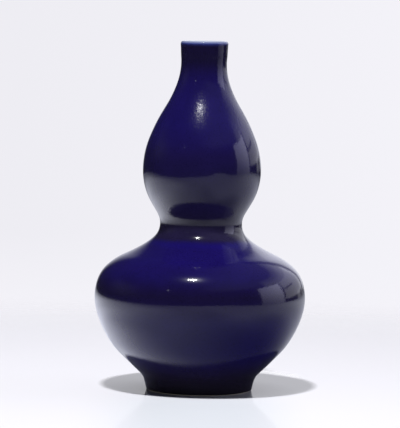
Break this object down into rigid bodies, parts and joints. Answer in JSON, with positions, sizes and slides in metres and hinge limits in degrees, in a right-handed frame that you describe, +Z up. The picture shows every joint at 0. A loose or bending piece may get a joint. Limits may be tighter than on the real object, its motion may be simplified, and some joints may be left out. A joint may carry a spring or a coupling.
{
  "type": "double gourd vase",
  "caption": "Double gourd porcelain vase: wide flattened lower bulb on a low foot ring, tight waist, smaller upper bulb, plain neck with narrow mouth, cobalt-blue glaze.",
  "frame": {"origin": "centre of the foot ring's resting plane, on the table under the vase", "axes": "+Z up the vase's axis from foot to mouth; +X to the viewer's right and +Y away from the viewer, both alike because the form is round"},
  "size_m": [0.1328, 0.1328, 0.22],
  "materials": {
    "porcelain_body": "unglazed, matt, fired white",
    "luting_slip": "unglazed, matt, fired white",
    "cobalt_blue_glaze": "high gloss with a faint orange-peel ripple",
    "clear_glaze": "high gloss, faintly blue over the white body"
  },
  "bodies": {
    "root": {"foot_ring": "porcelain_body", "lower_bulb_base": "porcelain_body", "lower_bulb_shoulder": "porcelain_body", "upper_bulb_base": "porcelain_body", "upper_bulb_shoulder": "porcelain_body", "neck": "porcelain_body", "foot_luting_slip": "luting_slip", "lower_belly_luting_slip": "luting_slip", "waist_luting_slip": "luting_slip", "upper_belly_luting_slip": "luting_slip", "neck_luting_slip": "luting_slip", "blue_glaze_coat": "cobalt_blue_glaze", "clear_glaze_lining": "clear_glaze", "foot_well_glaze": "clear_glaze"}
  },
  "joints": []
}
